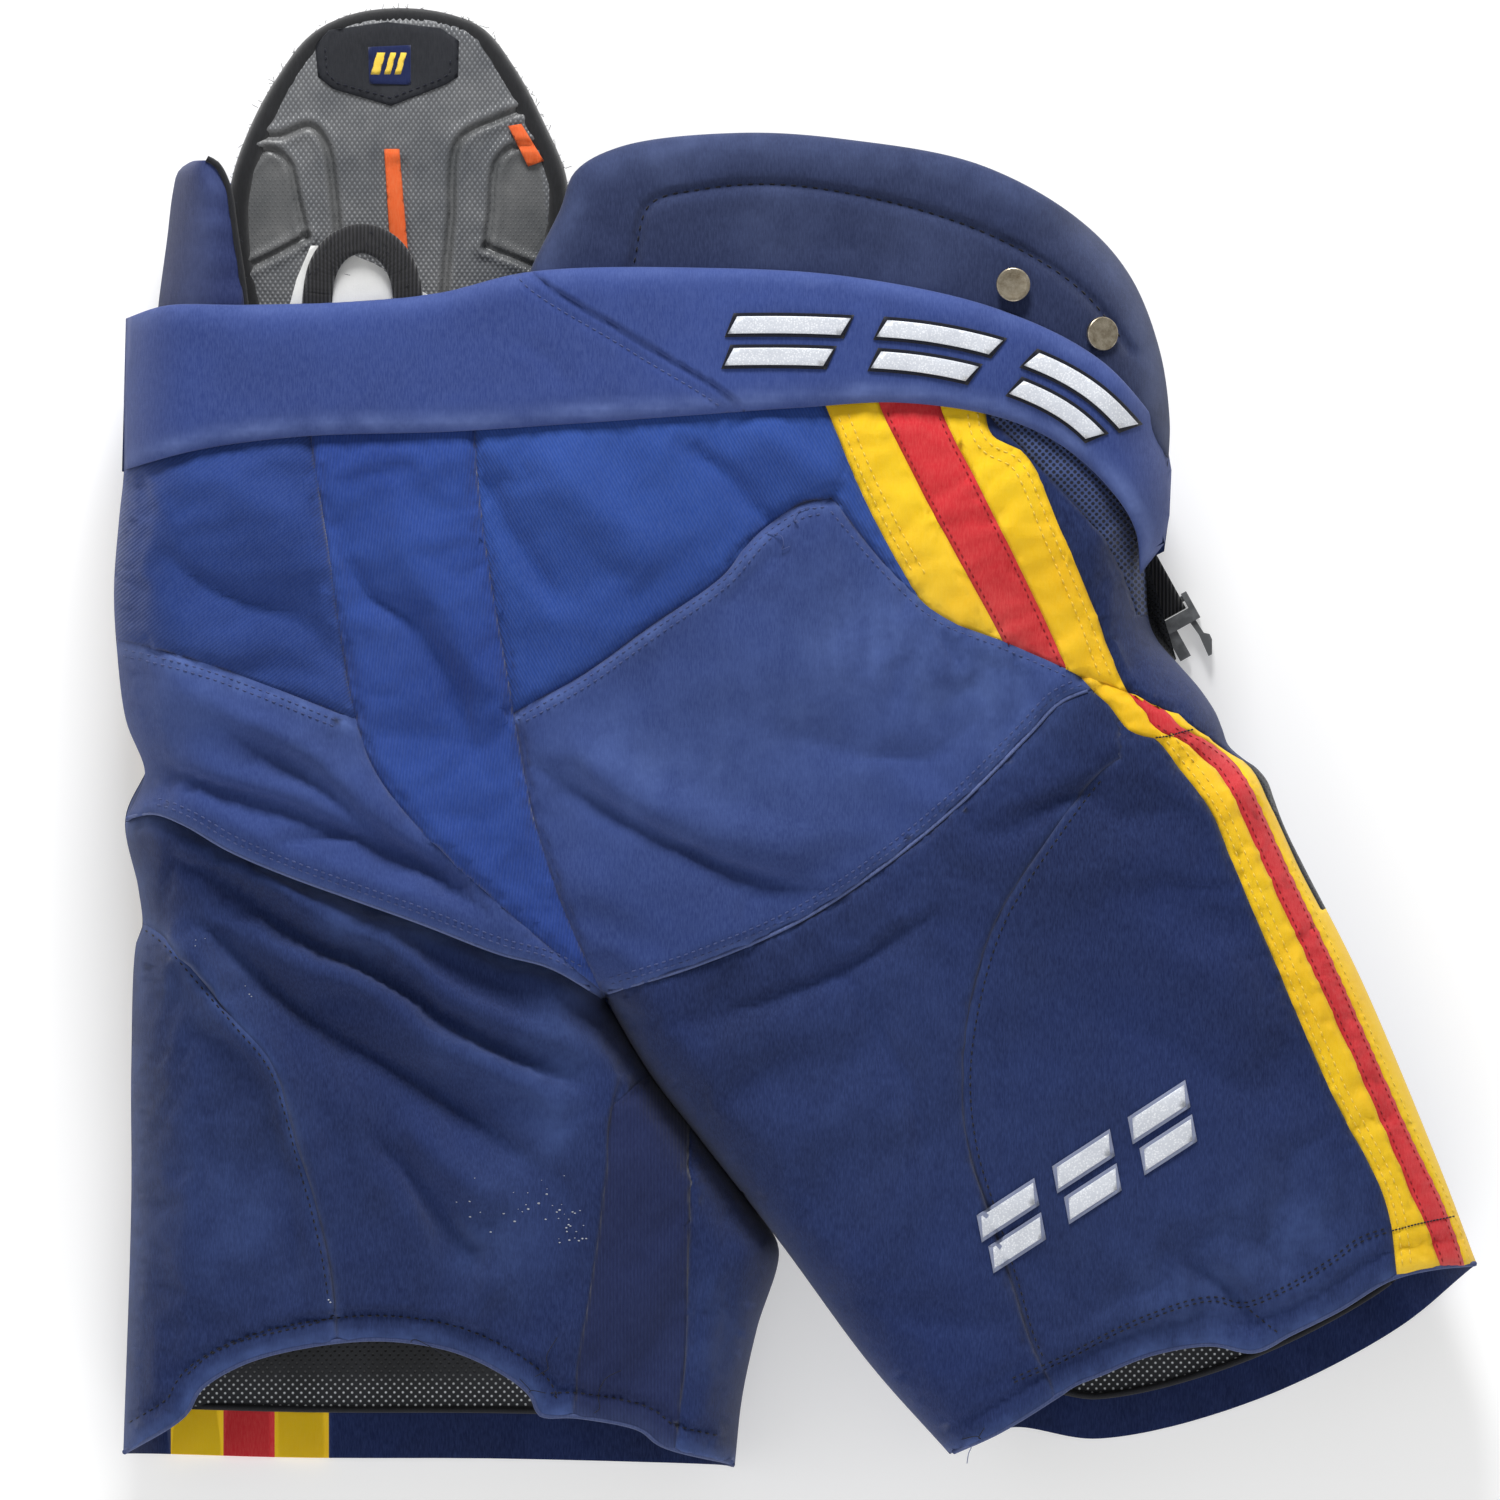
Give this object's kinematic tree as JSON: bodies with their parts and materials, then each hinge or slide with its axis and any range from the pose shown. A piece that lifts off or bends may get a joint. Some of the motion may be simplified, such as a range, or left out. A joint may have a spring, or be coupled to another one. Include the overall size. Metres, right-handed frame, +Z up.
{
  "type": "ice hockey pants",
  "caption": "Padded ice hockey pants with a flared waist, kidney flaps, a sliding spine guard, side stripes and two wide short legs that swing apart at the hips.",
  "frame": {"origin": "on the surface the pants lie on, under the middle of their bounding box", "axes": "+Z up, out of the seat; +Y towards the waist; +X towards the wearer's right"},
  "size_m": [0.6842, 0.729, 0.1416],
  "materials": {
    "navy_nylon": "woven nylon, worn",
    "royal_knit": "ribbed stretch knit",
    "waist_band": "padded woven nylon",
    "air_mesh": "open mesh",
    "stripe": "woven, two bands with a red centre",
    "brass": "plated",
    "guard_plastic": "moulded",
    "pad_foam": "closed-cell foam",
    "lining_mesh": "perforated mesh",
    "black_webbing": "ribbed webbing",
    "white_label": "satin weave",
    "guard_foam": "moulded foam, diamond texture",
    "black_fabric": "woven",
    "orange_trim": "woven",
    "badge": "woven",
    "antique_metal": "antique, worn",
    "buckle_plastic": "moulded acetal"
  },
  "bodies": {
    "waist": {"waist_band_left": "waist_band", "waist_band_right": "waist_band", "seat_gusset": "royal_knit", "hip_panel_left": "royal_knit", "hip_panel_right": "royal_knit", "seat_panel_left": "navy_nylon", "seat_panel_right": "navy_nylon", "side_panel_right": "royal_knit", "vent_panel_right": "air_mesh", "stripe_upper_right": "stripe", "stripe_upper_left": "stripe", "front_panel_left": "navy_nylon", "front_panel_right": "navy_nylon", "fly_flap": "navy_nylon", "fly_eyelets": "brass", "right_yoke": "navy_nylon", "left_yoke": "navy_nylon", "hip_caps": "guard_plastic", "hip_foams": "pad_foam", "tailbone_pad": "pad_foam", "waist_lining": "lining_mesh", "belt_webbing": "black_webbing", "buckle_strap": "black_webbing", "care_label": "white_label", "hang_loop_ends": "black_webbing"},
    "hang_loop": {"hang_loop": "black_webbing"},
    "spine_guard": {"spine_guard_foam": "guard_foam", "spine_guard_cap": "black_fabric", "spine_guard_insert": "orange_trim", "spine_guard_binding": "black_fabric", "spine_guard_tab": "orange_trim", "number_patch": "badge"},
    "right_kidney": {"kidney_pad_right": "navy_nylon", "kidney_rivets_right": "antique_metal"},
    "left_kidney": {"kidney_pad_left": "navy_nylon", "kidney_rivets_left": "antique_metal"},
    "button_right_inner": {"button_right_inner": "antique_metal"},
    "button_right_outer": {"button_right_outer": "antique_metal"},
    "button_left_inner": {"button_left_inner": "antique_metal"},
    "button_left_outer": {"button_left_outer": "antique_metal"},
    "right_leg": {"right_back_inner": "navy_nylon", "right_back_outer": "navy_nylon", "right_stripe": "stripe", "right_front": "navy_nylon", "right_thigh_guard": "guard_plastic", "right_thigh_foam": "pad_foam", "right_lining": "lining_mesh"},
    "left_leg": {"left_back_inner": "navy_nylon", "left_back_middle": "navy_nylon", "left_back_outer": "navy_nylon", "left_knit_strip": "royal_knit", "left_front": "navy_nylon", "left_stripe": "stripe", "left_thigh_guard": "guard_plastic", "left_thigh_foam": "pad_foam", "left_lining": "lining_mesh"},
    "male_buckle": {"male_buckle": "buckle_plastic"},
    "prong_outer": {"buckle_prong_outer": "buckle_plastic"},
    "prong_inner": {"buckle_prong_inner": "buckle_plastic"},
    "female_buckle": {"female_buckle": "buckle_plastic"}
  },
  "joints": [
    {"name": "right_leg_swing", "type": "hinge", "parent": "waist", "child": "right_leg", "pos_m": [0.02, 0.02, 0.06], "axis": [0, 0, 1], "range_deg": [0, 18]},
    {"name": "left_leg_swing", "type": "hinge", "parent": "waist", "child": "left_leg", "pos_m": [-0.188, -0.014, 0.055], "axis": [0, 0, 1], "range_deg": [-12, 0]},
    {"name": "spine_guard_slide", "type": "slide", "parent": "waist", "child": "spine_guard", "axis": [0, 1, 0], "range_m": [-0.018, 0.018]},
    {"name": "right_kidney_flex", "type": "hinge", "parent": "waist", "child": "right_kidney", "pos_m": [-0.133, 0.235, 0.125], "axis": [0.9975, -0.0705, 0], "range_deg": [0, 15], "stiffness_Nm_per_rad": 0.2},
    {"name": "left_kidney_flex", "type": "hinge", "parent": "waist", "child": "left_kidney", "pos_m": [-0.33, 0.22, 0.06], "axis": [0, 0, 1], "range_deg": [0, 14], "stiffness_Nm_per_rad": 0.2},
    {"name": "button_right_inner_spin", "type": "hinge", "parent": "right_kidney", "child": "button_right_inner", "pos_m": [0.108, 0.227, 0.1326], "axis": [0, 0, 1], "continuous": true},
    {"name": "button_right_outer_spin", "type": "hinge", "parent": "right_kidney", "child": "button_right_outer", "pos_m": [0.1505, 0.2025, 0.1266], "axis": [0.4384, 0, 0.8988], "continuous": true},
    {"name": "button_left_inner_spin", "type": "hinge", "parent": "left_kidney", "child": "button_left_inner", "pos_m": [-0.24, 0.226, 0.0084], "axis": [0, 0, -1], "continuous": true},
    {"name": "button_left_outer_spin", "type": "hinge", "parent": "left_kidney", "child": "button_left_outer", "pos_m": [-0.288, 0.24, 0.017], "axis": [-0.5534, 0, -0.8329], "continuous": true},
    {"name": "hang_loop_flop", "type": "hinge", "parent": "waist", "child": "hang_loop", "pos_m": [-0.2175, 0.2258, 0.13265], "axis": [1, 0, 0], "range_deg": [0, 70]},
    {"name": "buckle_lift", "type": "hinge", "parent": "waist", "child": "male_buckle", "pos_m": [0.182, 0.064, 0.0046], "axis": [-0.8746, -0.4848, 0], "range_deg": [0, 20]},
    {"name": "outer_prong_flex", "type": "hinge", "parent": "male_buckle", "child": "prong_outer", "pos_m": [0.1971, 0.06151, 0.0046], "axis": [0, 0, -1], "range_deg": [0, 6], "stiffness_Nm_per_rad": 0.02},
    {"name": "inner_prong_flex", "type": "hinge", "parent": "male_buckle", "child": "prong_inner", "pos_m": [0.17611, 0.04987, 0.0046], "axis": [0, 0, 1], "range_deg": [0, 6], "stiffness_Nm_per_rad": 0.02},
    {"name": "female_buckle_swing", "type": "hinge", "parent": "waist", "child": "female_buckle", "pos_m": [-0.072, 0.1375, 0.0134], "axis": [0, -1, 0], "range_deg": [0, 60]}
  ]
}
